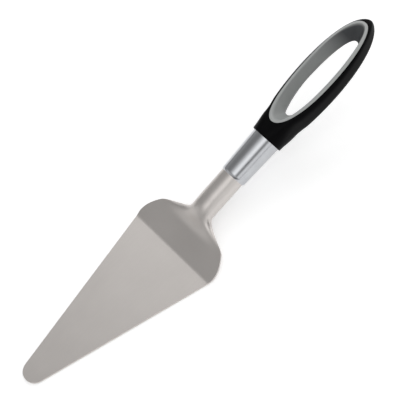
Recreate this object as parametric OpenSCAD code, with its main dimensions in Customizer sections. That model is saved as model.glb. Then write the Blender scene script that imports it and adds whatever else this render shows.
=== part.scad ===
// Cake server: a pressed steel blade on a rolled neck, a tapered ferrule and an open loop handle
// with a soft liner. X runs from the tip of the blade to the end of the handle, Z is up, and the
// flat blade lies on Z = 0. All lengths are in millimetres.

/* [Blade] */
// Length of the flat blade, from its nose to the fold
blade_len = 106.8; // [85:0.1:130]
// Width of the blade at the fold
fold_w = 62.5; // [52:0.1:74]
// Radius of the rounded nose
nose_r = 7.5; // [4:0.1:10]
// Thickness of the steel sheet
sheet = 1.2; // [0.9:0.05:1.5]
// Radius of the fold, measured to the middle of the sheet
fold_r = 8; // [4:0.1:12]
// Angle of the riser above the flat blade
riser_angle = 16.5; // [12:0.5:24]
// Length of the riser along its slope, from the fold to the root of the neck
riser_len = 22.1; // [20:0.1:26]
// Length over which the shoulders round in to the neck
shoulder_run = 30; // [27:0.1:33]

/* [Neck] */
// Outer diameter of the rolled neck
neck_d = 14.3; // [12:0.1:14.6]
// Angle from the crown of the roll to each of its edges
roll_angle = 106; // [95:1:120]
// Length over which the flat riser rolls up into the neck
roll_run = 12; // [9:0.1:15]
// Length of the bend between the riser and the straight neck
bend_len = 4; // [2:0.1:6]
// Length of the straight neck that shows ahead of the ferrule
neck_len = 24.6; // [18:0.1:34]
// Length of neck that is held inside the ferrule
neck_grip = 10; // [6:0.1:12]
// Angle of the neck and handle above the flat blade
shank_angle = 13.2; // [10:0.1:18]

/* [Ferrule] */
// Length of the ferrule
ferrule_len = 27.8; // [25:0.1:34]
// Thickness of the ferrule's wall at its mouth, round the neck
mouth_wall = 0.55; // [0.4:0.05:0.8]
// Outer diameter of the ferrule where it meets the handle
rear_d = 17.5; // [17:0.1:18.4]
// Thickness of the ferrule's wall where it meets the handle
rear_wall = 0.85; // [0.6:0.05:1]

/* [Tang] */
// Diameter of the round rod of the tang
rod_d = 8; // [6:0.1:8.5]
// Depth that the rod reaches into the handle, behind the ferrule
rod_depth = 9.5; // [6:0.1:10]
// Length of the half-round part of the tang that shows under the neck
bar_len = 18; // [12:0.1:22]
// Height of the tang's flat underside below the axis of the neck
bar_drop = 1.5; // [0.5:0.1:3]
// Diameter of the cross pin
pin_d = 3; // [2:0.1:3.4]
// Distance from the front of the handle's spigot to the middle of the cross pin
pin_setback = 5.5; // [4:0.1:6]

/* [Handle] */
// Length of the handle behind the ferrule
handle_len = 86.9; // [80:0.1:96]
// Diameter of the collar where the handle starts
collar_d = 19.6; // [18.8:0.1:21]
// Radius that rounds the front edge of the collar
collar_r = 0.7; // [0.3:0.1:1]
// Width across the widest part of the loop
loop_w = 26.4; // [24.5:0.1:30]
// Thickness of the loop, through its opening
loop_t = 13.4; // [11:0.1:15.5]
// Gap inside the ferrule, between the end of the neck and the handle's spigot
spigot_gap = 2.8; // [1:0.1:5]

/* [Soft liner] */
// Distance from the front of the handle to the liner's rim
rim_start = 9.3; // [8:0.1:11]
// Width of the black edge between the liner's rim and the end of the handle
rim_margin = 3.2; // [2.5:0.1:4.5]
// Width of the black edge beside the liner's rim, where the loop is widest
side_margin = 1.85; // [1.5:0.05:2.6]
// Width of the flat band round the liner's rim, at its sides
band_w = 2.1; // [1.6:0.1:2.8]
// Distance from the front of the handle to the liner's ridge, where the opening is narrowest
hole_start = 17.8; // [16:0.1:21]
// Distance from the far end of that ridge to the end of the handle
hole_margin = 13.8; // [12.5:0.1:17]
// Width of each side of the loop, from its outer edge to the opening at its narrowest
loop_side = 6.8; // [6.2:0.1:8]
// Thickness of the liner at its ridge
liner_wall = 2.2; // [1.5:0.1:2.6]
// Distance of the ridge below the middle of the loop, halfway along the opening
ridge_low = 0.9; // [0:0.1:1.5]
// Angle at which the ridge sinks toward the end of the handle
ridge_tilt = 4.7; // [0:0.1:6]

/* [Fits] */
// Gap between the neck and the ferrule's mouth
neck_gap = 0.1; // [0.05:0.01:0.15]
// Gap between the spigot and the ferrule, and round the tang
press_gap = 0.05; // [0.02:0.01:0.08]

/* [Hidden] */
$fn = 64;

// How far a cut runs past the face that it opens
over = 1;

// Colours
steel = "silver";
polished = "lightsteelblue";
gloss_black = "#0b0b0c";
soft_grey = "#7b7d7c";

// Counts of points
sheet_steps = 20;
ring_steps = 40;
hole_steps = 72;
lip_steps = 5;

// Numbers that shape the outline of the shoulders: a full round that turns into the neck
shoulder_power = 1.95;
shoulder_turn = 0.95;
taper_power = 3;
flat_end_share = 0.55;

// Small helpers
function clamp(t) = min(max(t, 0), 1);
function ease(t) = let (c = clamp(t)) c * c * (3 - 2 * c);
function mix(a, b, t) = a + (b - a) * t;
function arc_len(radius, angle) = radius * angle * PI / 180;

// Blade outline: straight sides from the fold to a round nose
nose_x = -blade_len + nose_r;
taper = atan(fold_w / 2 / -nose_x) - asin(nose_r / norm([nose_x, fold_w / 2]));

// Path of the sheet's middle behind the fold, as runs with a steady change of slope
fold_len = arc_len(fold_r, riser_angle);
riser_end = fold_len + riser_len;
shank_start = riser_end + bend_len;
neck_end = shank_start + neck_len + neck_grip;

function slope_at(s) =
    s < fold_len ? riser_angle * clamp(s / fold_len) :
    s < riser_end ? riser_angle :
    mix(riser_angle, shank_angle, clamp((s - riser_end) / bend_len));
function step_on(from, run, slope) = from + run * [cos(slope), sin(slope)];
function path_at(s) =
    s <= fold_len ? step_on([0, sheet / 2], s, slope_at(s) / 2) :
    s <= riser_end ? step_on(path_at(fold_len), s - fold_len, riser_angle) :
    s <= shank_start ? step_on(path_at(riser_end), s - riser_end, (riser_angle + slope_at(s)) / 2) :
    step_on(path_at(shank_start), s - shank_start, shank_angle);

// Roll of the neck: its edges stay on the path while its crown rises
roll_r = (neck_d - sheet) / 2;
roll_lead_share = 0.61;
roll_start = riser_end - roll_lead_share * roll_run;
neck_half = arc_len(roll_r, roll_angle);
function roll_at(s) = ease((s - roll_start) / roll_run);

// Half-width of the sheet while it is flat
flat_end = flat_end_share * neck_half;
shoulder_w = fold_w / 2 + fold_len * tan(taper);
function half_w(s) =
    let (run = s - fold_len, t = clamp(run / shoulder_run))
    run <= 0 ? fold_w / 2 + s * tan(taper) :
    flat_end + (shoulder_w - flat_end) * pow(1 - pow(t, shoulder_power), shoulder_turn)
        + run * tan(taper) * pow(1 - t, taper_power);

// A point of the sheet, whose section turns from a flat strip into the neck's arch: across runs
// from -1 to 1, and lift is measured square to the sheet, from its middle
function sheet_point(s, across, lift) =
    let (
        slope = slope_at(s), at = path_at(s), half = half_w(s), roll = roll_at(s),
        angle = roll_angle * across,
        side = mix(half, neck_half * cos(angle), roll),
        fall = roll * neck_half * sin(angle),
        y = mix(half * across, roll_r * sin(angle), roll) + lift * fall / norm([side, fall]),
        up = roll * roll_r * (cos(angle) - cos(roll_angle)) + lift * side / norm([side, fall])
    )
    [at[0] - up * sin(slope), y, at[1] + up * cos(slope)];
function sheet_ring(s) = concat(
    [for (i = [0 : sheet_steps]) sheet_point(s, 1 - 2 * i / sheet_steps, sheet / 2)],
    [for (i = [sheet_steps : -1 : 0]) sheet_point(s, 1 - 2 * i / sheet_steps, -sheet / 2)]);

// Places along the path where the sheet gets a ring of points
fold_rings = 4;
riser_rings = 14;
roll_rings = 16;
sheet_rings = concat(
    [-fold_r],
    [for (i = [0 : fold_rings - 1]) fold_len * i / fold_rings],
    [for (i = [0 : riser_rings - 1]) mix(fold_len, roll_start, i / riser_rings)],
    [for (i = [0 : roll_rings]) roll_start + roll_run * i / roll_rings],
    [neck_end]);

// Frame of the shank: its X is the axis of neck, ferrule and handle, from the front of the handle
roll_drop = -roll_r * cos(roll_angle);
shank_foot = path_at(shank_start) + roll_drop * [-sin(shank_angle), cos(shank_angle)];
handle_at = step_on(shank_foot, neck_len + ferrule_len, shank_angle);

// Ferrule: an outer taper, a short land that fits the neck and a tapered bore behind it
neck_bore = neck_d / 2 + neck_gap;
rear_bore = rear_d / 2 - rear_wall;
mouth_r = neck_bore + mouth_wall;
lip_share = 0.85;
lip_r = lip_share * mouth_wall;
land_share = 0.6;
land_len = land_share * neck_grip;
function bore_at(x) =
    mix(neck_bore, rear_bore, clamp((x + ferrule_len - land_len) / (ferrule_len - land_len)));

// Spigot, tang and pin
spigot_len = ferrule_len - neck_grip - spigot_gap;
bar_r = neck_d / 2 - sheet - press_gap;
bar_start = -ferrule_len - bar_len;
bar_end = -ferrule_len + neck_grip;
pin_x = pin_setback - spigot_len;
pin_len = 2 * sqrt(pow(bore_at(pin_x - pin_d / 2) - press_gap, 2) - pow(pin_d / 2, 2));

// Handle: half-width, half-height and squareness of its section at each place along it
loop_mid = handle_len / 2;
root_shares = [0.11, 0.24];
root_fall_share = 0.253;
fall_power = 1.5;
loop_square = 5;
side_powers = [0.5, 0.56];
top_powers = [6, 0.6];
function handle_half_w(x) =
    let (
        t = (x - loop_mid) / loop_mid,
        loop = loop_w / 2 * pow(max(1 - t * t, 0), side_powers[t > 0 ? 1 : 0]),
        root = (x / handle_len - root_shares[0]) / (root_shares[1] - root_shares[0])
    )
    mix(collar_d / 2, loop, ease(root));
function handle_half_h(x) =
    let (
        t = clamp((x - loop_mid) / loop_mid),
        root = exp(-pow(x / (root_fall_share * handle_len), fall_power))
    )
    mix(loop_t / 2, collar_d / 2, root) * pow(1 - pow(t, top_powers[0]), top_powers[1]);
function squareness(x) = mix(2, loop_square, ease(x / root_shares[1] / handle_len));
function power_of(value, exponent) = sign(value) * pow(abs(value), exponent);
function handle_ring(x, inset = 0) =
    let (w = handle_half_w(x) - inset, h = handle_half_h(x) - inset, n = squareness(x))
    [for (i = [0 : ring_steps - 1]) let (a = 360 * i / ring_steps)
        [x, w * power_of(cos(a), 2 / n), h * power_of(sin(a), 2 / n)]];
// Height of the handle's upper skin over a point of its plan
function skin_z(x, y) =
    let (n = squareness(x), t = clamp(abs(y) / handle_half_w(x)))
    handle_half_h(x) * pow(1 - pow(t, n), 1 / n);

// Places along the handle where its skin gets a ring of points
root_rings = 10;
loop_rings = 12;
end_rings = 14;
loop_shares = [root_shares[1], 0.74];
loop_span = loop_shares * handle_len;
close_share = 0.9995;
handle_rings = concat(
    [for (i = [0 : root_rings - 1]) mix(collar_r, loop_span[0], i / root_rings)],
    [for (i = [0 : loop_rings - 1]) mix(loop_span[0], loop_span[1], i / loop_rings)],
    [for (i = [0 : end_rings]) mix(loop_span[1], handle_len, close_share * sin(90 * i / end_rings))]);

// Outlines of the liner, as ovals in the handle's plan: [first x, last x, half-width, squareness]
rim_square = 2.2;
ridge_square = 2.25;
band_shares = [0.9, 2.1];
rim_end = handle_len - rim_margin;
rim_half = loop_w / 2 - side_margin;
hole_end = handle_len - hole_margin;
hole_half = loop_w / 2 - loop_side;
rim_outer = [rim_start, rim_end, rim_half, rim_square];
rim_inner = rim_outer + band_w * [band_shares[0], -band_shares[1], -1, 0];
ridge_inner = [hole_start, hole_end, hole_half, ridge_square];
ridge_outer = ridge_inner + liner_wall * [-1, 1, 1, 0];
ridge_mid = (hole_start + hole_end) / 2;
function ridge_z(x) = (ridge_mid - x) * tan(ridge_tilt) - ridge_low;
function oval_point(o, angle) =
    [mix(o[0], o[1], (1 + power_of(cos(angle), 2 / o[3])) / 2), o[2] * power_of(sin(angle), 2 / o[3])];
// A closed row of points on an oval: level is 1 on the upper skin, 0 at the ridge and -1 below
function oval_row(o, level) =
    [for (i = [0 : hole_steps - 1]) let (p = oval_point(o, 360 * i / hole_steps))
        [p[0], p[1], level * skin_z(p[0], p[1]) + (1 - abs(level)) * ridge_z(p[0])]];
function flat_row(o, z) = [for (p = oval_row(o, 0)) [p[0], p[1], z]];

// Section of the liner as rows, from the outer edge of its rim over the ridge and back
band_soft_share = 0.25;
soft_shares = [0.05, 0.94];
liner_rows = [
    oval_row(rim_outer, 1),
    oval_row(mix(rim_inner, rim_outer, band_soft_share), 1),
    oval_row(mix(rim_inner, ridge_inner, soft_shares[0]), 1 - soft_shares[0]),
    oval_row(mix(rim_inner, ridge_inner, soft_shares[1]), 1 - soft_shares[1]),
    oval_row(ridge_inner, 0),
    oval_row(mix(rim_inner, ridge_inner, soft_shares[1]), soft_shares[1] - 1),
    oval_row(mix(rim_inner, ridge_inner, soft_shares[0]), soft_shares[0] - 1),
    oval_row(mix(rim_inner, rim_outer, band_soft_share), -1),
    oval_row(rim_outer, -1),
    oval_row(ridge_outer, 0)];

// Faces between two rows of points, and faces that close a row
function band(a, b, n) = [for (j = [0 : n - 1]) let (k = (j + 1) % n) each
    [[a * n + j, b * n + k, a * n + k], [a * n + j, b * n + j, b * n + k]]];
function bands(rows, n) = [for (i = [0 : rows - 2]) each band(i, i + 1, n)];
function flat_cap(first, n, flip = false) = [[for (j = [0 : n - 1]) first + (flip ? n - 1 - j : j)]];
// A cap of strips, for a thin section whose points lie in two facing rows
function strip_cap(first, n, flip = false) = [for (j = [0 : n / 2 - 2])
    let (a = first + j, b = first + j + 1, c = first + n - 2 - j, d = first + n - 1 - j) each
    flip ? [[c, b, a], [d, c, a]] : [[a, b, c], [a, c, d]]];

// A solid through rings of points that lie one after the other
module loft(rings, thin = false) {
    n = len(rings[0]);
    last = (len(rings) - 1) * n;
    caps = thin ? concat(strip_cap(0, n), strip_cap(last, n, true))
        : concat(flat_cap(0, n), flat_cap(last, n, true));
    polyhedron([for (r = rings) each r], concat(bands(len(rings), n), caps), convexity = 6);
}

// A ring-shaped solid through rows of points that close on themselves
module ring_loft(rows) {
    n = len(rows[0]);
    faces = concat(bands(len(rows), n), band(len(rows) - 1, 0, n));
    polyhedron([for (r = rows) each r], faces, convexity = 6);
}

// Puts a piece drawn along the shank into the frame of the blade
module on_shank() {
    translate([handle_at[0], 0, handle_at[1]]) rotate([0, -shank_angle, 0]) children();
}

// Puts the middle of the whole server over the origin
whole_end = handle_at[0] + handle_len * cos(shank_angle);
module centred() {
    translate([(blade_len - whole_end) / 2, 0, 0]) children();
}

// A round bar along X from one place to another
module bar(from, to, r) {
    translate([from, 0, 0]) rotate([0, 90, 0]) cylinder(h = to - from, r = r);
}

// A turned solid about X, from points given as [x, radius]
module turned(outline) {
    rotate([0, 90, 0]) rotate_extrude() polygon([for (p = outline) [p[1], p[0]]]);
}

// Flat part of the blade, with its round nose
module blade_flat() {
    touch = [nose_x - nose_r * sin(taper), nose_r * cos(taper)];
    linear_extrude(sheet) {
        translate([nose_x, 0]) circle(r = nose_r);
        polygon([touch, [0, fold_w / 2], [0, -fold_w / 2], [touch[0], -touch[1]]]);
    }
}

// Blade: flat, fold, riser with rounded shoulders, and the neck rolled from the same sheet
module blade() {
    color(steel) centred() {
        blade_flat();
        loft([for (s = sheet_rings) sheet_ring(s)], thin = true);
    }
}

// Tang: a half-round bar brazed inside the neck, turned down to a rod that is held in the handle
module tang() {
    color(steel) centred() on_shank() difference() {
        union() {
            intersection() {
                bar(bar_start, bar_end, bar_r);
                translate([bar_start, -bar_r, -bar_drop])
                    cube([bar_end - bar_start, 2 * bar_r, bar_r + bar_drop]);
            }
            bar(bar_end, rod_depth, rod_d / 2);
        }
        pin_hole();
    }
}

// Hole for the cross pin, through the tang and the spigot
module pin_hole() {
    translate([pin_x, 0, 0]) rotate([90, 0, 0])
        cylinder(h = collar_d, r = (pin_d + press_gap) / 2, center = true);
}

// Cross pin, hidden under the ferrule
module tang_pin() {
    color(steel) centred() on_shank()
        translate([pin_x, 0, 0]) rotate([90, 0, 0]) cylinder(h = pin_len, r = pin_d / 2, center = true);
}

// Ferrule: a polished tapered tube with a rounded lip
module ferrule() {
    front = -ferrule_len;
    lip = [for (i = [0 : lip_steps]) let (a = 90 * i / lip_steps)
        [front + lip_r * (1 - sin(a)), mouth_r - lip_r * (1 - cos(a))]];
    color(polished) centred() on_shank() turned(concat(
        [[front, neck_bore]],
        [for (i = [lip_steps : -1 : 0]) lip[i]],
        [[0, rear_d / 2], [0, rear_bore], [front + land_len, neck_bore]]));
}

// Spigot of the handle, inside the rear of the ferrule
module spigot() {
    rear_r = rear_bore - press_gap;
    turned([
        [-spigot_len, 0],
        [-spigot_len, bore_at(-spigot_len) - press_gap],
        [0, rear_r],
        [collar_r + over, rear_r],
        [collar_r + over, 0]]);
}

// Space that the liner and the opening take out of the handle
module liner_space() {
    loft([
        flat_row(rim_outer, -collar_d),
        oval_row(rim_outer, -1),
        oval_row(ridge_outer, 0),
        oval_row(rim_outer, 1),
        flat_row(rim_outer, collar_d)]);
}

// Handle: the spigot, a round collar that flows into the flat loop, and its hollow for the liner
module handle_body() {
    front = [for (p = handle_ring(collar_r, collar_r)) [0, p[1], p[2]]];
    color(gloss_black) centred() on_shank() difference() {
        union() {
            loft(concat([front], [for (x = handle_rings) handle_ring(x)]));
            spigot();
        }
        liner_space();
        bar(-spigot_len - over, rod_depth + press_gap, rod_d / 2 + press_gap);
        pin_hole();
    }
}

// Soft liner: a ring whose faces slope in from both rims to a ridge between them
module grip_liner() {
    color(soft_grey) centred() on_shank() ring_loft(liner_rows);
}

blade();
tang();
tang_pin();
ferrule();
handle_body();
grip_liner();
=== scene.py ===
# %% [markdown]
# # A cake server with an open loop handle
# The tool has a pressed steel blade whose sheet rolls up into the neck, a polished ferrule, and a
# black handle with a soft grey liner round its opening. This lesson dresses the solid model piece
# by piece: smooth skins where the solids have facets, and a finish for every part.

# %% Load the solid model
import bpy
import bmesh
import math
import numpy as np
from mathutils import Matrix, Vector


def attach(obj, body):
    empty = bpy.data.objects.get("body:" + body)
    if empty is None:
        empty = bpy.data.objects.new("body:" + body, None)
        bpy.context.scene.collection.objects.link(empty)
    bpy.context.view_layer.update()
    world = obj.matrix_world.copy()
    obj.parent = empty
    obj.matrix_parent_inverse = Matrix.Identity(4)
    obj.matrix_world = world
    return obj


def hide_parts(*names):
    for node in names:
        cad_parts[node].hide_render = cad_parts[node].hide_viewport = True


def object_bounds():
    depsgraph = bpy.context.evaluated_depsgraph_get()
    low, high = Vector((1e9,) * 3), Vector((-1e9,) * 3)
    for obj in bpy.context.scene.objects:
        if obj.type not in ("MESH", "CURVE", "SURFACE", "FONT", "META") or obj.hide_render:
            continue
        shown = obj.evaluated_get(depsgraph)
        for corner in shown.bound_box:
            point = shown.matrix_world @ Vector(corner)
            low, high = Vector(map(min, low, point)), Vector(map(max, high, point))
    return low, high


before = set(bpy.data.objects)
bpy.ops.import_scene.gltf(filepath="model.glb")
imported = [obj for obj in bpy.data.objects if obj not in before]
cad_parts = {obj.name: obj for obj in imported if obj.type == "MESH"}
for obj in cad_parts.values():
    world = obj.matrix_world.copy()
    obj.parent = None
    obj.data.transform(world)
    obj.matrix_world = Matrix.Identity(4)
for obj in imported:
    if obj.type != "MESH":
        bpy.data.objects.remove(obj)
solid_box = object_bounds()
scene = bpy.context.scene
print("nodes:", sorted(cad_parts))

# %% [markdown]
# All sizes repeat the solid model's, in millimetres, because the script reads nothing else from
# disk. Each stands in the cell that first needs it. One factor turns millimetres into Blender's
# metres. The skins stay a few micrometres inside the solid pieces, by a small slack.

# %% Units
MM = 0.001
SLACK = 0.004
print("solid model, mm:", [round((h - l) / MM, 1) for l, h in zip(*solid_box)])

# %% [markdown]
# The camera looks down at the blade's upper face from the side, a metre away, and is rolled so
# that the server runs from the lower left of the picture to the upper right. Azimuth is measured
# from the side of the tool toward the tip of the blade. A nudge of less than a millimetre places
# the tool in the picture as in the photograph.

# %% Camera at the photograph's angle
CAM_AZIMUTH, CAM_ELEVATION, CAM_ROLL = 17.3, 58.0, 26.8
CAM_DISTANCE, CAM_LENS, SENSOR_W = 1.0, 164.9, 36
NUDGE_RIGHT, NUDGE_DOWN = 0.0007, 0.0009


def camera_axes(azimuth, elevation, roll):
    az, el, ro = (math.radians(a) for a in (azimuth, elevation, roll))
    back = Vector((-math.cos(el) * math.sin(az), -math.cos(el) * math.cos(az), math.sin(el)))
    right = Vector((0, 0, 1)).cross(back).normalized()
    up = back.cross(right)
    return (math.cos(ro) * right - math.sin(ro) * up,
            math.sin(ro) * right + math.cos(ro) * up, back)


right, up, back = camera_axes(CAM_AZIMUTH, CAM_ELEVATION, CAM_ROLL)
middle = (Vector(solid_box[0]) + Vector(solid_box[1])) / 2
eye = middle + CAM_DISTANCE * back + NUDGE_RIGHT * right - NUDGE_DOWN * up
camera_data = bpy.data.cameras.new("camera")
camera_data.lens, camera_data.sensor_width = CAM_LENS, SENSOR_W
camera = bpy.data.objects.new("camera", camera_data)
camera.matrix_world = Matrix((
    (right.x, up.x, back.x, eye.x),
    (right.y, up.y, back.y, eye.y),
    (right.z, up.z, back.z, eye.z),
    (0, 0, 0, 1)))
scene.collection.objects.link(camera)
scene.camera = camera
print("camera at", [round(c, 3) for c in eye])

# %% [markdown]
# Shader and geometry maths is easier to read as Python expressions. A `Wire` is one output
# socket, and its operators add the Math nodes. The reflected operators let a plain number stand
# first, as in `1 - mask`.

# %% Wires
class Wire:
    def __init__(self, bench, socket):
        self.bench, self.socket = bench, socket

    def maths(self, operation, *values):
        return self.bench.node("ShaderNodeMath", {"operation": operation}, dict(enumerate(values)))

    def other(self, name):
        """Another output of the same node."""
        return Wire(self.bench, self.socket.node.outputs[name])

    def __add__(self, value): return self.maths("ADD", self, value)
    def __radd__(self, value): return self.maths("ADD", value, self)
    def __sub__(self, value): return self.maths("SUBTRACT", self, value)
    def __rsub__(self, value): return self.maths("SUBTRACT", value, self)
    def __mul__(self, value): return self.maths("MULTIPLY", self, value)
    def __rmul__(self, value): return self.maths("MULTIPLY", value, self)
    def __truediv__(self, value): return self.maths("DIVIDE", self, value)
    def __rtruediv__(self, value): return self.maths("DIVIDE", value, self)
    def __pow__(self, value): return self.maths("POWER", self, value)
    def __rpow__(self, value): return self.maths("POWER", value, self)
    def at_most(self, value): return self.maths("MINIMUM", self, value)
    def at_least(self, value): return self.maths("MAXIMUM", self, value)
    def cosine(self): return self.maths("COSINE", self)
    def sine(self): return self.maths("SINE", self)


print("wires ready")

# %% [markdown]
# A `Bench` is the tree being wired. Its method `node` makes any other node from a type, settings
# and sockets. The rest are the few joints that every finish here shares: a place on the object, a
# noise of a given size, a tint between two colours, a bump and the finished shader.

# %% The bench
MIX_A, MIX_B, MIX_RESULT = 6, 7, 2


class Bench:
    def __init__(self, tree):
        self.tree = tree
        tree.nodes.clear()

    def node(self, kind, settings=None, sockets=None, out=0):
        made = self.tree.nodes.new(kind)
        for name, value in (settings or {}).items():
            setattr(made, name, value)
        for name, value in (sockets or {}).items():
            if isinstance(value, Wire):
                self.tree.links.new(value.socket, made.inputs[name])
            else:
                made.inputs[name].default_value = value
        return Wire(self, made.outputs[out]) if len(made.outputs) else made

    def object_place(self, turn=0.0, stretch=(1, 1, 1)):
        place = self.node("ShaderNodeTexCoord", out="Object")
        return self.node("ShaderNodeMapping", {}, {
            "Vector": place, "Rotation": (0, turn, 0), "Scale": stretch})

    def noise(self, place, size_mm, detail, roughness=0.5):
        return self.node("ShaderNodeTexNoise", {}, {
            "Vector": place, "Scale": 1 / (size_mm * MM), "Detail": detail,
            "Roughness": roughness})

    def colour(self, value):
        return value if isinstance(value, Wire) else (*value, 1)

    def tint(self, dark, light, factor):
        return self.node("ShaderNodeMix", {"data_type": "RGBA"}, {
            "Factor": factor, MIX_A: self.colour(dark), MIX_B: self.colour(light)}, out=MIX_RESULT)

    def bump(self, height, depth_mm, strength, under=None):
        sockets = {"Height": height, "Distance": depth_mm * MM, "Strength": strength}
        if under:
            sockets["Normal"] = under
        return self.node("ShaderNodeBump", {}, sockets)

    def finish(self, **sockets):
        shader = self.node("ShaderNodeBsdfPrincipled", {}, {
            name.replace("_", " "): value for name, value in sockets.items()})
        self.node("ShaderNodeOutputMaterial", {}, {"Surface": shader})


def material(name):
    made = bpy.data.materials.new(name)
    made.use_nodes = True
    return made, Bench(made.node_tree)


def say(finish):
    print(finish.name + ":", len(finish.node_tree.nodes), "nodes")


print("bench ready")

# %% [markdown]
# The blade and neck are blasted stainless steel: a warm satin grey whose fine grain only softens
# the light. Patches a few centimetres wide vary the roughness a little, as handling does, and
# faint long rubs run along the blade. A picture of scratches could give this too, but noise at
# three sizes has no seams and needs no file.

# %% Satin steel
SATIN_DARK, SATIN_LIGHT = (0.575, 0.544, 0.522), (0.685, 0.651, 0.625)
satin_steel, b = material("satin_steel")
place = b.object_place()
grain = b.noise(place, size_mm=0.22, detail=3.0, roughness=0.6)
patches = b.noise(place, size_mm=26.0, detail=3.0)
rubs = b.noise(b.object_place(stretch=(0.05, 1, 1)), size_mm=0.5, detail=2.0)
b.finish(
    Base_Color=b.tint(SATIN_DARK, SATIN_LIGHT, patches * 0.7 + rubs * 0.3),
    Metallic=1.0,
    Roughness=0.36 + patches * 0.05 + grain * 0.04,
    Normal=b.bump(rubs, depth_mm=0.002, strength=0.4,
                  under=b.bump(grain, depth_mm=0.004, strength=0.5)))
say(satin_steel)

# %% [markdown]
# The ferrule is polished on a lathe, so it mirrors the room in long stripes and keeps faint rings
# round its axis. Bands from a wave would look machine-ruled, so the rings come from noise that is
# squeezed along the axis of the shank, which leans up from the blade.

# %% Polished steel
SHANK_ANGLE = 13.2
SHANK = math.radians(SHANK_ANGLE)
POLISH_DARK, POLISH_LIGHT = (0.46, 0.47, 0.49), (0.56, 0.57, 0.59)
polished_steel, b = material("polished_steel")
around = b.object_place(turn=SHANK, stretch=(1, 0.04, 0.04))
rings = b.noise(around, size_mm=0.25, detail=3.0)
smears = b.noise(b.object_place(), size_mm=6.0, detail=4.0)
b.finish(
    Base_Color=b.tint(POLISH_DARK, POLISH_LIGHT, smears),
    Metallic=1.0,
    Roughness=0.13 + smears * 0.08 + rings * 0.03,
    Normal=b.bump(rings, depth_mm=0.001, strength=0.35))
say(polished_steel)

# %% [markdown]
# The handle is black plastic from a polished mould: glossy, with a faint orange peel close up and
# hardly any grey in it. A low specular level keeps the black deep under the room's bright patches.

# %% Black plastic
BLACK_DARK, BLACK_LIGHT = (0.002, 0.002, 0.0023), (0.0045, 0.0045, 0.005)
black_plastic, b = material("black_plastic")
place = b.object_place()
peel = b.noise(place, size_mm=0.35, detail=2.0)
wear = b.noise(place, size_mm=9.0, detail=4.0)
b.finish(
    Base_Color=b.tint(BLACK_DARK, BLACK_LIGHT, wear),
    Specular_IOR_Level=0.03,
    Roughness=0.26 + wear * 0.12,
    Normal=b.bump(peel, depth_mm=0.006, strength=0.5))
say(black_plastic)

# %% [markdown]
# The tang inside the neck and the cross pin are plain turned steel. They stay as the solid model
# has them, because their shapes are exact, and only get a finish with drawn lines along the shank.

# %% Plain steel on the tang and its pin
PLAIN_DARK, PLAIN_LIGHT = (0.42, 0.42, 0.41), (0.56, 0.56, 0.55)
plain_steel, b = material("plain_steel")
lengthways = b.object_place(turn=SHANK, stretch=(0.08, 1, 1))
drawn = b.noise(lengthways, size_mm=0.3, detail=3.0)
b.finish(
    Base_Color=b.tint(PLAIN_DARK, PLAIN_LIGHT, drawn),
    Metallic=1.0,
    Roughness=0.34 + drawn * 0.16,
    Normal=b.bump(drawn, depth_mm=0.004, strength=0.4))
for name in ("tang", "tang_pin"):
    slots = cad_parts[name].data.materials
    slots.clear()
    slots.append(plain_steel)
say(plain_steel)

# %% [markdown]
# Every new piece is finished the same way: doubled points and slivers merged, faces outward,
# smooth shading with crisp edges, one material, and a place on the body that carries it. Most
# pieces here are grids of points, and one helper joins the points of a grid.

# %% Making pieces
MERGE_MM, SLIVER_MM = 0.002, 0.001


def mesh_piece(name, points, faces, finish, smooth_angle=40.0):
    mesh = bpy.data.meshes.new(name)
    mesh.from_pydata([tuple(p) for p in points], [], faces)
    work = bmesh.new()
    work.from_mesh(mesh)
    bmesh.ops.remove_doubles(work, verts=work.verts, dist=MERGE_MM * MM)
    bmesh.ops.dissolve_degenerate(work, edges=work.edges, dist=SLIVER_MM * MM)
    bmesh.ops.recalc_face_normals(work, faces=work.faces)
    work.to_mesh(mesh)
    work.free()
    mesh.shade_smooth()
    mesh.set_sharp_from_angle(angle=math.radians(smooth_angle))
    mesh.materials.append(finish)
    piece = bpy.data.objects.new(name, mesh)
    scene.collection.objects.link(piece)
    return piece


def grid_faces(rows, columns, closed_rows=False, closed_columns=False):
    faces = []
    for i in range(rows if closed_rows else rows - 1):
        for j in range(columns if closed_columns else columns - 1):
            a, c = i * columns, ((i + 1) % rows) * columns
            k = (j + 1) % columns
            faces.append((a + j, a + k, c + k, c + j))
    return faces


def seat(piece, node):
    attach(piece, "root")
    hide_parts(node)
    print(piece.name, "replaces", node, "with", len(piece.data.polygons), "faces")


print("a grid of 3 by 4 points has", len(grid_faces(3, 4)), "faces")

# %% [markdown]
# Three small rules shape every curve below. One holds a number between 0 and 1, one goes from 0
# to 1 with no corner at either end, and one blends two values.

# %% Rules for curves
def clamp(t):
    return np.clip(t, 0.0, 1.0)


def ease(t):
    return clamp(t) ** 2 * (3 - 2 * clamp(t))


def mix(a, b, t):
    return a + (b - a) * t


print("a quarter of the way, ease gives", ease(0.25))

# %% [markdown]
# The blade is one sheet. Its middle follows a path: flat, a gentle fold, the riser, and a bend
# into the neck. Bending a flat plate by hand would lose the real lengths, so rules give each
# point. The path is measured along the sheet, with zero at the fold, and flat and rolled parts
# share that scale.

# %% Path of the sheet
SHEET, FOLD_R, RISER_ANGLE, RISER_LEN = 1.2, 8.0, 16.5, 22.1
BEND_LEN, NECK_LEN, NECK_GRIP = 4.0, 24.6, 10.0
fold_len = FOLD_R * math.radians(RISER_ANGLE)
riser_end = fold_len + RISER_LEN
shank_start = riser_end + BEND_LEN
neck_end = shank_start + NECK_LEN + NECK_GRIP


def slope_at(s):
    if s < fold_len:
        return RISER_ANGLE * max(s, 0) / fold_len
    return float(mix(RISER_ANGLE, SHANK_ANGLE, clamp((s - riser_end) / BEND_LEN)))


def step_on(start, run, slope):
    return start + run * np.array([math.cos(math.radians(slope)), math.sin(math.radians(slope))])


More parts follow.
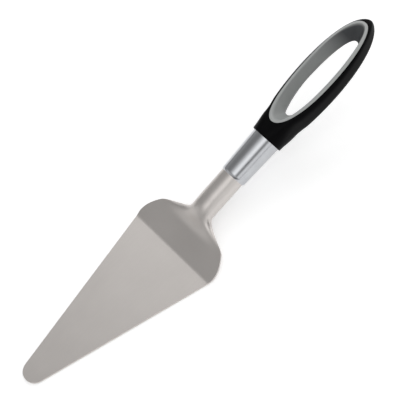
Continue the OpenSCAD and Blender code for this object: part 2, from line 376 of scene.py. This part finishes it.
def path_at(s):
    if s <= fold_len:
        return step_on(np.array([0, SHEET / 2]), s, slope_at(s) / 2)
    if s <= riser_end:
        return step_on(path_at(fold_len), s - fold_len, RISER_ANGLE)
    if s <= shank_start:
        return step_on(path_at(riser_end), s - riser_end, (RISER_ANGLE + slope_at(s)) / 2)
    return step_on(path_at(shank_start), s - shank_start, SHANK_ANGLE)


print("path behind the fold, mm:", round(neck_end, 1))

# %% [markdown]
# From its round nose the sheet widens along two straight edges that touch the nose. Behind the
# fold, two shoulders round it in toward the strip that rolls up into the neck. Two powers set how
# full the shoulders are, and the edges' own slope fades out along them.

# %% Width of the sheet
BLADE_LEN, NOSE_R, FOLD_W, SHOULDER_RUN = 106.8, 7.5, 62.5, 30.0
NECK_D, ROLL_ANGLE, STRIP_SHARE = 14.3, 106.0, 0.55
SHOULDER_ROUND, SHOULDER_TAIL, SLOPE_FADE = 1.95, 0.95, 3
nose_x = NOSE_R - BLADE_LEN
taper = math.atan(FOLD_W / 2 / -nose_x) - math.asin(NOSE_R / math.hypot(nose_x, FOLD_W / 2))
roll_r = (NECK_D - SHEET) / 2
neck_half = roll_r * math.radians(ROLL_ANGLE)
strip_half = STRIP_SHARE * neck_half


def half_width(s):
    round_end = nose_x - NOSE_R * math.sin(taper)
    if s < round_end:
        return math.sqrt(max(NOSE_R ** 2 - (s - nose_x) ** 2, 0))
    if s < fold_len:
        return FOLD_W / 2 + s * math.tan(taper)
    run = s - fold_len
    t = min(run / SHOULDER_RUN, 1)
    wide = FOLD_W / 2 + fold_len * math.tan(taper)
    shoulder = strip_half + (wide - strip_half) * (1 - t ** SHOULDER_ROUND) ** SHOULDER_TAIL
    return shoulder + run * math.tan(taper) * (1 - t) ** SLOPE_FADE


print("taper, degrees:", round(math.degrees(taper), 1))
print("width at the riser's foot, mm:", round(2 * half_width(fold_len), 1))

# %% [markdown]
# Across the path the sheet is straight until the neck, where it rolls up round the axis while its
# edges keep to the path. A point is blended between the two, and the blend starts on the riser.
# Pressed sheet has no sharp changes of slope, so the points at the root of the neck are then
# averaged with their neighbours along and across, many times over.

# %% Points of the sheet
ROLL_RUN, ROLL_LEAD = 12.0, 0.61
NOSE_ROWS, FLAT_ROWS, FOLD_ROWS, NECK_ROWS, COLUMNS = 15, 26, 9, 121, 53
SOFTENING, CALM_LEAD, CALM_RISE, CALM_LAG, CALM_FALL = 40, 4, 5, 3, 6
roll_start = riser_end - ROLL_LEAD * ROLL_RUN


def sheet_point(s, across):
    slope, at, half = math.radians(slope_at(s)), path_at(s), half_width(s)
    roll, edge = float(ease((s - roll_start) / ROLL_RUN)), math.radians(ROLL_ANGLE)
    y = mix(half * across, roll_r * math.sin(edge * across), roll)
    rise = roll * roll_r * (math.cos(edge * across) - math.cos(edge))
    return at[0] - rise * math.sin(slope), y, at[1] + rise * math.cos(slope)


round_nose = np.linspace(0, math.pi / 2 - taper, NOSE_ROWS)
along = [nose_x - NOSE_R * math.cos(a) for a in round_nose]
for end, rows in ((0, FLAT_ROWS), (fold_len, FOLD_ROWS), (neck_end, NECK_ROWS)):
    along += list(np.linspace(along[-1], end, rows)[1:])
across = np.linspace(1, -1, COLUMNS)
points = np.array([[sheet_point(s, q) for q in across] for s in along])
past_root = np.array(along) - roll_start
calm = ease((past_root + CALM_LEAD) / CALM_RISE)
calm = calm * (1 - ease((past_root - ROLL_RUN - CALM_LAG) / CALM_FALL))
for _ in range(SOFTENING):
    for axis in (0, 2):
        level = points[:, :, axis]
        averaged = (level[:-2] + 2 * level[1:-1] + level[2:]) / 4
        level[1:-1] = mix(level[1:-1], averaged, calm[1:-1, None])
        averaged = (level[:, :-2] + 2 * level[:, 1:-1] + level[:, 2:]) / 4
        level[:, 1:-1] = mix(level[:, 1:-1], averaged, calm[:, None])
points[:, :, 1] *= 1 - SLACK / half_width(0)
print("sheet:", len(along), "rows of", len(across), "points")

# %% [markdown]
# The grid is the sheet's middle surface. Solidify makes it 1.2 mm thick and Bevel rounds the cut
# edges, all the way round the nose, the shoulders and the neck. The whole tool is centred between
# its two ends, so the blade's place depends on the lengths of ferrule and handle.

# %% Blade
FERRULE_LEN, HANDLE_LEN = 27.8, 86.9
CUT_EDGE, EDGE_STEPS, EDGE_ANGLE = 0.32, 3, 60
neck_drop = roll_r * math.cos(math.radians(ROLL_ANGLE))
shank_foot = path_at(shank_start) - neck_drop * np.array([-math.sin(SHANK), math.cos(SHANK)])
handle_at = step_on(shank_foot, NECK_LEN + FERRULE_LEN, SHANK_ANGLE)
shift = (BLADE_LEN - handle_at[0] - HANDLE_LEN * math.cos(SHANK)) / 2
blade = mesh_piece(
    "blade_sheet", (points.reshape(-1, 3) + [shift, 0, 0]) * MM,
    grid_faces(len(along), len(across)), satin_steel)
wall = blade.modifiers.new("wall", "SOLIDIFY")
wall.thickness, wall.offset, wall.use_even_offset = (SHEET - SLACK) * MM, 0, True
rounding = blade.modifiers.new("edge", "BEVEL")
rounding.width, rounding.segments, rounding.limit_method = CUT_EDGE * MM, EDGE_STEPS, "ANGLE"
rounding.angle_limit, rounding.harden_normals = math.radians(EDGE_ANGLE), True
seat(blade, "blade")

# %% [markdown]
# Ferrule and handle share the shank's axis. Their points are worked out along that axis, with
# zero where the two meet, and one helper puts them in the frame of the whole object.

# %% Frame of the shank
def from_shank(points):
    p = np.asarray(points, float)
    x = handle_at[0] + shift + p[:, 0] * math.cos(SHANK) - p[:, 2] * math.sin(SHANK)
    z = handle_at[1] + p[:, 0] * math.sin(SHANK) + p[:, 2] * math.cos(SHANK)
    return np.stack([x, p[:, 1], z], axis=1) * MM


handle_start = from_shank([[0, 0, 0]])[0]
print("handle starts at, mm:", (handle_start / MM).round(1))

# %% [markdown]
# The ferrule is a turned tube, so one rule gives its whole surface: a place along the profile and
# an angle round the axis. Geometry Nodes suits that, and its sizes stay named inputs of the tree.

# %% Named sizes of the ferrule
MOUTH_WALL, REAR_D, REAR_WALL, NECK_GAP = 0.55, 17.5, 0.85, 0.1
neck_bore, rear_bore = NECK_D / 2 + NECK_GAP, REAR_D / 2 - REAR_WALL
sizes = {
    "Length": FERRULE_LEN * MM, "Lip": MOUTH_WALL * MM,
    "Mouth radius": (neck_bore + MOUTH_WALL) * MM, "Mouth bore": neck_bore * MM,
    "Rear radius": REAR_D / 2 * MM, "Rear bore": rear_bore * MM}
tree = bpy.data.node_groups.new("turned_tube", "GeometryNodeTree")
tree.interface.new_socket("Geometry", in_out="OUTPUT", socket_type="NodeSocketGeometry")
ids = {}
for name, value in sizes.items():
    socket = tree.interface.new_socket(name, in_out="INPUT", socket_type="NodeSocketFloat")
    socket.default_value = value
    ids[name] = socket.identifier
b = Bench(tree)
entry = b.node("NodeGroupInput")
size = {name: entry.other(name) for name in sizes}
print("ferrule's inputs:", ", ".join(sizes))

# %% [markdown]
# A flat grid has its rows along the profile. The first rows run back along the outside, one step
# closes the rear end, and the rest come forward along the bore. A quarter circle rounds the
# outside in at the mouth, until it meets the bore. The columns give the angle.

# %% Rule of the turned tube
ROUND_POINTS, PROFILE_ROWS, REAR_ROW = 129, 62, 30
grid = b.node("GeometryNodeMeshGrid", {}, {
    "Size X": 1.0, "Size Y": 1.0, "Vertices X": PROFILE_ROWS, "Vertices Y": ROUND_POINTS})
spot = b.node("ShaderNodeSeparateXYZ", {}, {0: b.node("GeometryNodeInputPosition")})
row = (spot + 0.5) * (PROFILE_ROWS - 1)
turn = (spot.other("Y") + 0.5) * (2 * math.pi)
outside = (row / REAR_ROW).at_most(1)
inside = ((row - REAR_ROW - 1) / (PROFILE_ROWS - REAR_ROW - 2)).at_least(0)
travel = (outside - inside) * size["Length"]
near = (1 - travel / size["Lip"]).at_least(0)
outer = size["Mouth radius"] + (size["Rear radius"] - size["Mouth radius"]) * outside
outer = outer - size["Lip"] * (1 - (1 - near * near).at_least(0) ** 0.5)
inner = size["Mouth bore"] + (size["Rear bore"] - size["Mouth bore"]) * (1 - inside)
on_wall = (row - REAR_ROW).at_least(0).at_most(1)
radius = outer + (inner - outer) * on_wall
print("rule:", len(tree.nodes), "nodes")

# %% [markdown]
# The rule moves each point of the grid to its place round the shank. The seam and the rows that
# meet are merged, and the result is kept as a plain mesh, so nothing live is left on the piece.

# %% Ferrule
def settled(carrier):
    mesh = bpy.data.meshes.new_from_object(
        carrier.evaluated_get(bpy.context.evaluated_depsgraph_get()))
    return [tuple(v.co) for v in mesh.vertices], [tuple(p.vertices) for p in mesh.polygons]


tilt_c, tilt_s = math.cos(SHANK), math.sin(SHANK)
lengthwise = travel - size["Length"]
height = radius * turn.cosine()
place = b.node("ShaderNodeCombineXYZ", {}, {
    "X": handle_start[0] + lengthwise * tilt_c - height * tilt_s,
    "Y": radius * turn.sine(),
    "Z": handle_start[2] + lengthwise * tilt_s + height * tilt_c})
bent = b.node("GeometryNodeSetPosition", {}, {"Geometry": grid, "Position": place})
merged = b.node(
    "GeometryNodeMergeByDistance", {}, {"Geometry": bent, "Distance": MERGE_MM * MM})
real = b.node("GeometryNodeRealizeInstances", {}, {"Geometry": merged})
dressed = b.node("GeometryNodeSetMaterial", {}, {"Geometry": real, "Material": polished_steel})
b.node("NodeGroupOutput", {}, {0: dressed})
carrier = bpy.data.objects.new("ferrule_rule", bpy.data.meshes.new("ferrule_rule"))
scene.collection.objects.link(carrier)
rule = carrier.modifiers.new("rule", "NODES")
rule.node_group = tree
for name, value in sizes.items():
    rule[ids[name]] = value
tube = settled(carrier)
carrier.modifiers.remove(rule)
bpy.data.objects.remove(carrier)
ferrule = mesh_piece("ferrule_tube", *tube, polished_steel, smooth_angle=50)
seat(ferrule, "ferrule")

# %% [markdown]
# The handle's section is a circle at the collar and squares off into the flat loop. Three rules
# along the handle give it: half the width, half the height, and the power of the rounded square.
# The collar's height fades out smoothly, and the far end rounds off. The handle could be
# sculpted, but with rules its width and height stay as measured.

# %% Section of the handle
COLLAR_D, LOOP_W, LOOP_T = 19.6, 26.4, 13.4
WIDEN_FROM, WIDEN_OVER, OVAL_NEAR, OVAL_FAR = 0.11, 0.13, 0.5, 0.56
COLLAR_FADE, FADE_POWER, END_POWER, END_ROUND = 0.253, 1.5, 6, 0.6
CIRCLE, SQUARED, SQUARE_RUN, CORNER_PULL = 2.0, 5.0, 0.24, 0.075
RING_STEPS = 144
loop_mid = HANDLE_LEN / 2


def handle_half_w(x):
    t = (x - loop_mid) / loop_mid
    power = np.where(t > 0, OVAL_FAR, OVAL_NEAR)
    loop = LOOP_W / 2 * np.maximum(1 - t * t, 0) ** power
    return mix(COLLAR_D / 2, loop, ease((x / HANDLE_LEN - WIDEN_FROM) / WIDEN_OVER))


def handle_half_h(x):
    t = clamp((x - loop_mid) / loop_mid)
    collar = np.exp(-(np.maximum(x, 0) / (COLLAR_FADE * HANDLE_LEN)) ** FADE_POWER)
    return mix(LOOP_T / 2, COLLAR_D / 2, collar) * (1 - t ** END_POWER) ** END_ROUND


def squareness(x):
    return mix(CIRCLE, SQUARED, ease(x / (SQUARE_RUN * HANDLE_LEN)))


def power_of(value, exponent):
    return np.sign(value) * np.abs(value) ** exponent


def handle_ring(x, w, h):
    a = np.linspace(0, 2 * math.pi, RING_STEPS, endpoint=False)
    n = squareness(max(x, 0))
    a = a - CORNER_PULL * (n - CIRCLE) * np.sin(4 * a)
    y, z = w * power_of(np.cos(a), 2 / n), h * power_of(np.sin(a), 2 / n)
    return np.stack([np.full(RING_STEPS, x), y, z], 1)


print("loop's width at its middle, mm:", 2 * float(handle_half_w(loop_mid)))

# %% [markdown]
# The skin is a loft of such sections, from the spigot inside the ferrule, round the collar's edge
# and along the loop to the far end, where the sections crowd together. Its two ends are closed.

# %% Skin of the handle
COLLAR_R, SPIGOT_GAP, SPIGOT_R, BORE_GAP = 0.7, 2.8, 7.4, 0.05
COLLAR_RINGS, LOOP_RINGS, END_RINGS = 7, 90, 41
END_START, END_REACH = 0.74 * HANDLE_LEN, 0.9999


def capped_faces(rows, columns):
    first, last = range(columns), range((rows - 1) * columns, rows * columns)
    return grid_faces(rows, columns, closed_columns=True) + [tuple(first), tuple(last)]


spigot_len = FERRULE_LEN - NECK_GRIP - SPIGOT_GAP
rings = [handle_ring(-spigot_len, SPIGOT_R, SPIGOT_R),
         handle_ring(0, rear_bore - BORE_GAP, rear_bore - BORE_GAP)]
for a in np.linspace(0, math.pi / 2, COLLAR_RINGS):
    x, inset = COLLAR_R * (1 - math.cos(a)), COLLAR_R * (1 - math.sin(a))
    rings.append(handle_ring(x, float(handle_half_w(x)) - inset, float(handle_half_h(x)) - inset))
places = list(np.linspace(COLLAR_R, END_START, LOOP_RINGS)[1:])
places += [mix(END_START, HANDLE_LEN, END_REACH * math.sin(a))
           for a in np.linspace(0, math.pi / 2, END_RINGS)[1:]]
pulled_in = [1 - 4 * SLACK / HANDLE_LEN, 1, 1]
rings += [handle_ring(x, float(handle_half_w(x)), float(handle_half_h(x))) * pulled_in
          for x in places]
skin = mesh_piece(
    "handle_skin", from_shank(np.concatenate(rings)),
    capped_faces(len(rings), RING_STEPS), black_plastic)
print("handle skin:", len(skin.data.polygons), "faces")

# %% [markdown]
# The liner's outlines are ovals in the handle's plan, each with a start, an end, half a width and
# a power. The upper rim is wider than the one underneath. A row of points on an oval sits on the
# upper skin, on the lower skin, or at a level between them, where the ridge leans with the handle.

# %% Ovals of the liner
RIM_START, RIM_MARGIN, SIDE_MARGIN, RIM_POWER = 9.3, 3.2, 1.85, 2.2
HOLE_START, HOLE_MARGIN, LOOP_SIDE, HOLE_POWER = 17.8, 13.8, 6.8, 2.25
BAND_W, UPPER_BAND, LOWER_BAND = 2.1, (0.6, -0.7, -1.0, 0), (0.6, -0.7, -0.6, 0)
LINER_WALL, RIDGE_LOW, RIDGE_TILT = 2.2, 0.9, 4.7
STEPS = 240
rim_outer = np.array([RIM_START, HANDLE_LEN - RIM_MARGIN, LOOP_W / 2 - SIDE_MARGIN, RIM_POWER])
rim_upper = rim_outer + BAND_W * np.array(UPPER_BAND)
rim_lower = rim_outer + BAND_W * np.array(LOWER_BAND)
ridge_inner = np.array([HOLE_START, HANDLE_LEN - HOLE_MARGIN, LOOP_W / 2 - LOOP_SIDE, HOLE_POWER])
ridge_outer = ridge_inner + LINER_WALL * np.array([-1, 1, 1, 0])
ridge_mid = (ridge_inner[0] + ridge_inner[1]) / 2


def skin_z(x, y):
    n = squareness(x)
    t = clamp(np.abs(y) / np.maximum(handle_half_w(x), 1e-6))
    return handle_half_h(x) * (1 - t ** n) ** (1 / n)


def oval_row(oval, level, sink=0.0):
    start, end, half, power = oval
    a = np.linspace(0, 2 * math.pi, STEPS, endpoint=False)
    x = mix(start, end, (1 + power_of(np.cos(a), 2 / power)) / 2)
    y = half * power_of(np.sin(a), 2 / power)
    ridge = (ridge_mid - x) * math.tan(math.radians(RIDGE_TILT)) - RIDGE_LOW
    z = level * skin_z(x, y) + (1 - abs(level)) * ridge - np.sign(level) * sink
    return np.stack([x, y, z], 1)


def flat_row(oval, z):
    row = oval_row(oval, 0)
    row[:, 2] = z
    return row


opening = ridge_inner[1] - ridge_inner[0], 2 * ridge_inner[2]
print("opening at its ridge, mm:", [round(length, 1) for length in opening])

# %% [markdown]
# The hollow for the liner is cut out of the handle's skin with an exact Boolean, so the black rim
# comes out crisp. The cutter narrows from the upper rim to the ridge and widens again below it.

# %% Cut the hollow out of the handle
hollow_rows = [flat_row(rim_outer, -COLLAR_D), oval_row(rim_outer, -1), oval_row(ridge_outer, 0),
               oval_row(rim_outer, 1), flat_row(rim_outer, COLLAR_D)]
hollow = mesh_piece(
    "hollow", from_shank(np.concatenate(hollow_rows)),
    capped_faces(len(hollow_rows), STEPS), black_plastic)
cut = skin.modifiers.new("cut", "BOOLEAN")
cut.operation, cut.solver, cut.object = "DIFFERENCE", "EXACT", hollow
shell = settled(skin)
bpy.data.objects.remove(skin)
bpy.data.objects.remove(hollow)
handle = mesh_piece("handle_shell", *shell, black_plastic, smooth_angle=35)
seat(handle, "handle_body")

# %% [markdown]
# The liner is soft-touch rubber, matt and slightly mottled. The outer part of its flat rim is
# painted paler, a painted highlight where the rim band catches the light. The slope at the far end
# of the opening is painted dark, a painted shade where it turns away from the light. Both tones
# follow the liner's own oval, read from the place on the object.

# %% Soft rubber
RUBBER_DARK, RUBBER_LIGHT = (0.265, 0.274, 0.27), (0.34, 0.35, 0.346)
# The paler colour is a painted highlight on the outer rim band, and the darkest is a painted shade
# on the far slope.
PAINTED_RIM_HIGHLIGHT, PAINTED_FAR_SHADE = (0.41, 0.422, 0.417), (0.07, 0.074, 0.078)
FAR_SHADE_START, FAR_SHADE_RUN, RIM_EDGE = 50.0, 22.0, 12.0
soft_grey, b = material("soft_grey")
place = b.object_place()
pores = b.noise(place, size_mm=0.3, detail=3.0, roughness=0.65)
mottle = b.noise(place, size_mm=7.0, detail=4.0)
shank_place = b.node("ShaderNodeSeparateXYZ", {}, {0: b.object_place(turn=SHANK)})
along_loop = shank_place - float(handle_start @ [math.cos(SHANK), 0, math.sin(SHANK)])
across_loop = shank_place.other("Y")
oval_mid = (rim_lower[0] + rim_lower[1]) / 2 * MM
oval_half = (rim_lower[1] - rim_lower[0]) / 2 * MM
within = 1 - ((along_loop - oval_mid) / oval_half) ** 2
within = within - (across_loop / float(rim_lower[2] * MM)) ** 2
inside_rim = (within * RIM_EDGE).at_least(0).at_most(1)
# Mask of the painted shade: it deepens toward the far end of the opening, where the slope faces
# away from the light.
far_shade = ((along_loop - FAR_SHADE_START * MM) / (FAR_SHADE_RUN * MM)).at_least(0).at_most(1)
plain_rubber = b.tint(RUBBER_DARK, RUBBER_LIGHT, mottle * 0.7 + pores * 0.3)
b.finish(
    # Outside the rim's oval the base colour is a painted highlight, and inside it at the far end a
    # painted shade.
    Base_Color=b.tint(
        b.tint(PAINTED_RIM_HIGHLIGHT, plain_rubber, inside_rim), PAINTED_FAR_SHADE, inside_rim * far_shade * far_shade),
    Roughness=0.6 + pores * 0.16,
    Normal=b.bump(pores, depth_mm=0.012, strength=0.6))
say(soft_grey)

# %% [markdown]
# The liner's section runs from its outer edge, just under the black rim, over a flat band, round
# a soft corner and down a long slope to the ridge halfway through the opening, and the same way
# back underneath, where the band is thinner. The rows close on themselves, so the ring has no
# seam.

# %% Soft liner
EDGE_ROWS = ((0, 0.985, 0.22), (0.03, 1, 0.06), (0.09, 1, 0.0))
BAND_ROWS = (0.25, 0.5, 0.72, 0.84)
CORNER_FROM, CORNER_TO, CORNER_DROP, CORNER_ROWS = 0.9, 0.045, 0.05, 7
SLOPE_ROWS = (*np.linspace(0.08, 0.9, 16), 0.94, 0.965)
CREST_AT, CREST_LEVEL = 0.982, 0.012


def liner_section(rim):
    rows = [(mix(rim_outer, rim, t), level, sink) for t, level, sink in EDGE_ROWS]
    rows += [(mix(rim_outer, rim, t), 1, 0.0) for t in BAND_ROWS]
    start, end = mix(rim_outer, rim, CORNER_FROM), mix(rim, ridge_inner, CORNER_TO)
    rows += [(mix(start, end, t), 1 - CORNER_DROP * t * t, 0.0)
             for t in np.linspace(0, 1, CORNER_ROWS)]
    rows += [(mix(rim, ridge_inner, t), 1 - t, 0.0) for t in SLOPE_ROWS]
    return rows + [(mix(rim, ridge_inner, CREST_AT), CREST_LEVEL, 0.0)]


liner_back = mix(ridge_outer, rim_outer, 0.5)
rows = [oval_row(*step) for step in liner_section(rim_upper)]
rows += [oval_row(oval, -level, sink) for oval, level, sink in reversed(liner_section(rim_lower))]
rows += [oval_row(liner_back, -0.5), oval_row(ridge_outer, 0), oval_row(liner_back, 0.5)]
liner = mesh_piece(
    "liner_ring", from_shank(np.concatenate(rows)),
    grid_faces(len(rows), STEPS, closed_rows=True, closed_columns=True), soft_grey,
    smooth_angle=60)
seat(liner, "grip_liner")

# %% [markdown]
# The floor is one plain pale sheet, a hair below the tool. It glows a little to the camera and in
# reflections, so that it reads as a white studio sweep, and the object's shadow stays on it.

# %% Floor
FLOOR_HALF, FLOOR_DROP, FLOOR_PALE, FLOOR_GLOW = 4, 0.0002, (0.9, 0.9, 0.9, 1), 0.37
floor_white, b = material("floor_white")
seen = b.node("ShaderNodeLightPath", out="Is Camera Ray")
seen = seen.at_least(seen.other("Is Glossy Ray")).at_least(seen.other("Is Transmission Ray"))
b.finish(Base_Color=FLOOR_PALE, Roughness=0.9, Emission_Color=seen * FLOOR_GLOW,
         Emission_Strength=1.0)
floor = bpy.data.meshes.new("floor")
floor.from_pydata([(x * FLOOR_HALF, y * FLOOR_HALF, 0) for x, y in
                   ((-1, -1), (1, -1), (1, 1), (-1, 1))], [], [(0, 1, 2, 3)])
floor.materials.append(floor_white)
floor_piece = bpy.data.objects.new("floor", floor)
floor_piece.location.z = -FLOOR_DROP
scene.collection.objects.link(floor_piece)
print("floor:", 2 * FLOOR_HALF, "m square")

# %% [markdown]
# Bent steel shows the room more than its own colour. The room is a dim grey with soft bright
# patches, as big white cards round a product table would make. Each patch has an azimuth, an
# elevation and a level. One small patch above the front is dark instead, as the gap between two
# cards is, and gives the ferrule its dark stripe.

# %% Room
CARDS = {
    "front_low": (270, 15, 0.9), "front_mid": (258, 47, 1.3), "overhead": (240, 74, 1.0),
    "handle_end_high": (15, 45, 1.15), "handle_end_low": (0, 15, 1.6),
    "back_right": (45, 15, 0.8), "back_low": (90, 15, 0.35), "back_high": (125, 50, 0.18),
    "back_left": (146, 18, 0.65), "blade_end": (190, 30, 0.5)}
CARD_EDGE, ROOM_LEVEL = 10.0, 0.05
SHADE, SHADE_EDGE, SHADE_DEPTH = (254, 40), 38.0, 1.4


def toward(azimuth, elevation):
    az, el = math.radians(azimuth), math.radians(elevation)
    return Vector((math.cos(el) * math.cos(az), math.cos(el) * math.sin(az), math.sin(el)))


world = bpy.data.worlds.new("room")
world.use_nodes = True
scene.world = world
b = Bench(world.node_tree)
look = b.node("ShaderNodeTexCoord", out="Generated")


def patch(azimuth, elevation, edge):
    facing = b.node("ShaderNodeVectorMath", {"operation": "DOT_PRODUCT"},
                    {0: look, 1: toward(azimuth, elevation)}, out="Value")
    return facing.at_least(0) ** edge


room = ROOM_LEVEL
for azimuth, elevation, level in CARDS.values():
    room = patch(azimuth, elevation, CARD_EDGE) * level + room
room = (room - patch(*SHADE, SHADE_EDGE) * SHADE_DEPTH).at_least(ROOM_LEVEL)
sky = b.node("ShaderNodeBackground", {}, {"Color": (1, 1, 1, 1), "Strength": room})
b.node("ShaderNodeOutputWorld", {}, {"Surface": sky})
print("room with", len(CARDS), "cards")

# %% [markdown]
# One big square lamp behind the tool throws the soft shadow. The plain view keeps every colour
# about as it is written.

# %% Lamp and view
LAMP_SIZE, LAMP_POWER, LAMP_DISTANCE, LAMP_FROM = 0.9, 2.4, 1.5, (60, 50)
lamp = bpy.data.lights.new("key", "AREA")
lamp.shape, lamp.size, lamp.energy = "SQUARE", LAMP_SIZE, LAMP_POWER
key = bpy.data.objects.new("key", lamp)
key.location = LAMP_DISTANCE * toward(*LAMP_FROM)
key.rotation_euler = (-key.location).to_track_quat("-Z", "Y").to_euler()
scene.collection.objects.link(key)
scene.view_settings.view_transform = "Standard"
print("lamp at", [round(c, 2) for c in key.location])
